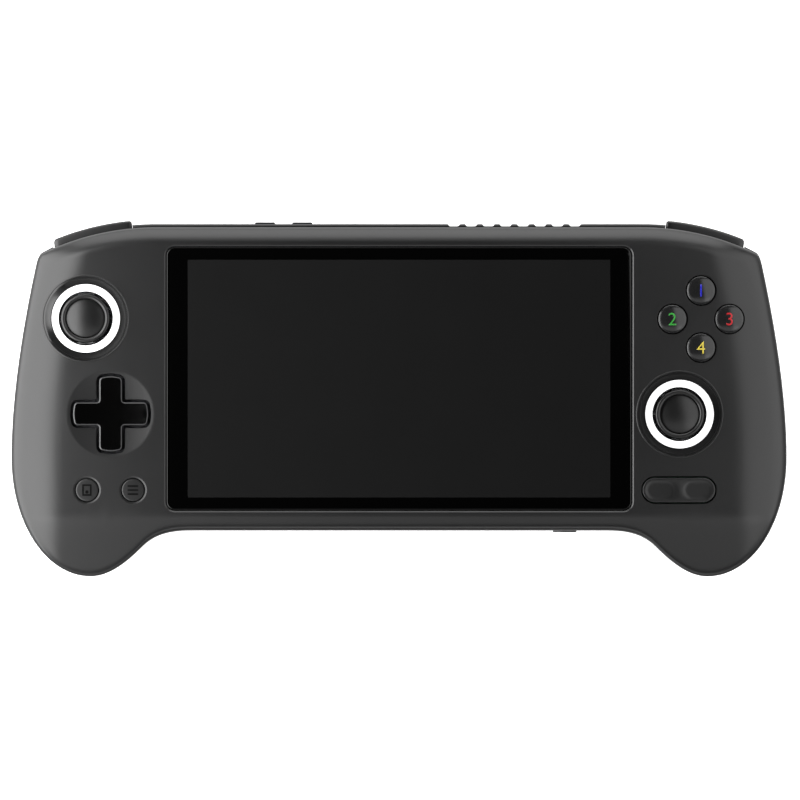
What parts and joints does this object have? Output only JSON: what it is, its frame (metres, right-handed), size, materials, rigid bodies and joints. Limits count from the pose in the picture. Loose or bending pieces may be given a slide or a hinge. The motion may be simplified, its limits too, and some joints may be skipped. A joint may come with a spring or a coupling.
{
  "type": "handheld game console",
  "caption": "Handheld game console with a wide screen between two ring-lit thumbsticks, a four-way pad and face buttons, with bumpers, triggers and moulded rear grips.",
  "frame": {"origin": "on the resting plane, under the middle of the outer box", "axes": "+X towards the player's right, +Y towards the shoulder buttons, +Z out of the screen"},
  "size_m": [0.223, 0.1024, 0.0303],
  "materials": {
    "front_shell": "fine matte grain",
    "rear_shell": "fine matte grain",
    "glass": "polished, black border",
    "display": "dark switched-off panel",
    "light_ring": "white diffuser, lit",
    "stick_rubber": "soft matte",
    "gloss_button": "polished",
    "matte_button": "satin",
    "shoulder_plastic": "satin",
    "circuit_board": "solder mask",
    "rubber_mat": "soft",
    "battery_pouch": "pouch foil",
    "fins": "bare metal",
    "ribbon": "polyimide",
    "inner_plastic": "moulded",
    "steel": "stamped"
  },
  "bodies": {
    "case": {"front_shell": "front_shell", "rear_shell": "rear_shell", "screen_glass": "glass", "display_panel": "display", "left_light_ring": "light_ring", "left_stick_housing": "steel", "right_light_ring": "light_ring", "right_stick_housing": "steel", "pad_mat": "rubber_mat", "face_mat": "rubber_mat", "tact_switches": "inner_plastic", "left_trigger_pin": "steel", "left_trigger_spring": "steel", "left_shoulder_bracket": "steel", "right_trigger_pin": "steel", "right_trigger_spring": "steel", "right_shoulder_bracket": "steel", "top_key_board": "circuit_board", "main_board": "circuit_board", "left_control_board": "circuit_board", "right_control_board": "circuit_board", "ribbon_cables": "ribbon", "battery": "battery_pouch", "fan_housing": "inner_plastic", "fin_stack": "fins", "charging_port": "steel", "headphone_jack": "inner_plastic", "card_socket": "steel", "left_speaker": "inner_plastic", "right_speaker": "inner_plastic", "vibration_motor": "steel", "case_screws": "steel"},
    "left_stick_carrier": {"left_stick_carrier": "steel"},
    "left_stick_yoke": {"left_stick_yoke": "steel"},
    "left_stick": {"left_stick_lever": "steel", "left_stick_cap": "stick_rubber"},
    "left_stick_arch": {"left_stick_arch": "steel"},
    "right_stick_carrier": {"right_stick_carrier": "steel"},
    "right_stick_yoke": {"right_stick_yoke": "steel"},
    "right_stick": {"right_stick_lever": "steel", "right_stick_cap": "stick_rubber"},
    "right_stick_arch": {"right_stick_arch": "steel"},
    "pad_pivot": {"pad_pivot": "steel"},
    "four_way_pad": {"four_way_pad": "gloss_button"},
    "face_button_top": {"face_button_top": "gloss_button"},
    "face_button_left": {"face_button_left": "gloss_button"},
    "face_button_right": {"face_button_right": "gloss_button"},
    "face_button_bottom": {"face_button_bottom": "gloss_button"},
    "outer_small_button": {"outer_small_button": "matte_button"},
    "inner_small_button": {"inner_small_button": "matte_button"},
    "long_button": {"long_button": "matte_button"},
    "left_bumper": {"left_bumper": "shoulder_plastic"},
    "left_trigger": {"left_trigger": "shoulder_plastic"},
    "right_bumper": {"right_bumper": "shoulder_plastic"},
    "right_trigger": {"right_trigger": "shoulder_plastic"},
    "volume_rocker": {"volume_rocker": "shoulder_plastic"},
    "power_key": {"power_key": "shoulder_plastic"},
    "fan_rotor": {"fan_rotor": "inner_plastic"}
  },
  "joints": [
    {"name": "left_stick_click", "type": "slide", "parent": "case", "child": "left_stick_carrier", "axis": [0, 0, 1], "range_m": [-0.0005, 0], "stiffness_N_per_m": 600},
    {"name": "left_stick_sideways", "type": "hinge", "parent": "left_stick_carrier", "child": "left_stick_yoke", "pos_m": [-0.09, 0.02301, 0.013], "axis": [0, 1, 0], "range_deg": [-13, 13], "stiffness_Nm_per_rad": 0.04},
    {"name": "left_stick_forwards", "type": "hinge", "parent": "left_stick_yoke", "child": "left_stick", "pos_m": [-0.09, 0.02301, 0.013], "axis": [1, 0, 0], "range_deg": [-13, 13], "stiffness_Nm_per_rad": 0.04},
    {"name": "left_stick_arch_turn", "type": "hinge", "parent": "case", "child": "left_stick_arch", "pos_m": [-0.09, 0.02301, 0.013], "axis": [1, 0, 0], "range_deg": [-13, 13]},
    {"name": "right_stick_click", "type": "slide", "parent": "case", "child": "right_stick_carrier", "axis": [0, 0, 1], "range_m": [-0.0005, 0], "stiffness_N_per_m": 600},
    {"name": "right_stick_sideways", "type": "hinge", "parent": "right_stick_carrier", "child": "right_stick_yoke", "pos_m": [0.0806, -0.00449, 0.013], "axis": [0, 1, 0], "range_deg": [-13, 13], "stiffness_Nm_per_rad": 0.04},
    {"name": "right_stick_forwards", "type": "hinge", "parent": "right_stick_yoke", "child": "right_stick", "pos_m": [0.0806, -0.00449, 0.013], "axis": [1, 0, 0], "range_deg": [-13, 13], "stiffness_Nm_per_rad": 0.04},
    {"name": "right_stick_arch_turn", "type": "hinge", "parent": "case", "child": "right_stick_arch", "pos_m": [0.0806, -0.00449, 0.013], "axis": [1, 0, 0], "range_deg": [-13, 13]},
    {"name": "pad_up_down", "type": "hinge", "parent": "case", "child": "pad_pivot", "pos_m": [-0.0828, -0.00439, 0.0215], "axis": [1, 0, 0], "range_deg": [-2.5, 2.5], "stiffness_Nm_per_rad": 0.3},
    {"name": "pad_left_right", "type": "hinge", "parent": "pad_pivot", "child": "four_way_pad", "pos_m": [-0.0828, -0.00439, 0.0215], "axis": [0, 1, 0], "range_deg": [-2.5, 2.5], "stiffness_Nm_per_rad": 0.3},
    {"name": "face_top_press", "type": "slide", "parent": "case", "child": "face_button_top", "axis": [0, 0, 1], "range_m": [-0.0012, 0], "stiffness_N_per_m": 500},
    {"name": "face_left_press", "type": "slide", "parent": "case", "child": "face_button_left", "axis": [0, 0, 1], "range_m": [-0.0012, 0], "stiffness_N_per_m": 500},
    {"name": "face_right_press", "type": "slide", "parent": "case", "child": "face_button_right", "axis": [0, 0, 1], "range_m": [-0.0012, 0], "stiffness_N_per_m": 500},
    {"name": "face_bottom_press", "type": "slide", "parent": "case", "child": "face_button_bottom", "axis": [0, 0, 1], "range_m": [-0.0012, 0], "stiffness_N_per_m": 500},
    {"name": "outer_small_press", "type": "slide", "parent": "case", "child": "outer_small_button", "axis": [0, 0, 1], "range_m": [-0.0005, 0], "stiffness_N_per_m": 700},
    {"name": "inner_small_press", "type": "slide", "parent": "case", "child": "inner_small_button", "axis": [0, 0, 1], "range_m": [-0.0005, 0], "stiffness_N_per_m": 700},
    {"name": "long_button_rock", "type": "hinge", "parent": "case", "child": "long_button", "pos_m": [0.0804, -0.02629, 0.0213], "axis": [0, 1, 0], "range_deg": [-2, 2], "stiffness_Nm_per_rad": 0.3},
    {"name": "left_bumper_press", "type": "hinge", "parent": "case", "child": "left_bumper", "pos_m": [-0.07428, 0.04628, 0.015], "axis": [0, 0, -1], "range_deg": [-3, 0], "stiffness_Nm_per_rad": 0.6},
    {"name": "left_trigger_pull", "type": "hinge", "parent": "case", "child": "left_trigger", "pos_m": [-0.08568, 0.0378, 0.0135], "axis": [0.9709, 0.2394, 0], "range_deg": [-12, 0], "stiffness_Nm_per_rad": 0.06},
    {"name": "right_bumper_press", "type": "hinge", "parent": "case", "child": "right_bumper", "pos_m": [0.07428, 0.04628, 0.015], "axis": [0, 0, 1], "range_deg": [-3, 0], "stiffness_Nm_per_rad": 0.6},
    {"name": "right_trigger_pull", "type": "hinge", "parent": "case", "child": "right_trigger", "pos_m": [0.08568, 0.0378, 0.0135], "axis": [0.9709, -0.2394, 0], "range_deg": [-12, 0], "stiffness_Nm_per_rad": 0.06},
    {"name": "volume_tilt", "type": "hinge", "parent": "case", "child": "volume_rocker", "pos_m": [-0.0332, 0.04501, 0.0156], "axis": [0, 0, 1], "range_deg": [-2.5, 2.5], "stiffness_Nm_per_rad": 0.3},
    {"name": "power_press", "type": "slide", "parent": "case", "child": "power_key", "axis": [0, 1, 0], "range_m": [-0.0004, 0], "stiffness_N_per_m": 800},
    {"name": "fan_spin", "type": "hinge", "parent": "case", "child": "fan_rotor", "pos_m": [0.0332, 0.02621, 0.015], "axis": [0, 0, 1], "continuous": true}
  ],
  "couplings": [
    {"joint": "left_stick_arch_turn", "follows": "left_stick_forwards", "ratio": 1},
    {"joint": "right_stick_arch_turn", "follows": "right_stick_forwards", "ratio": 1}
  ]
}
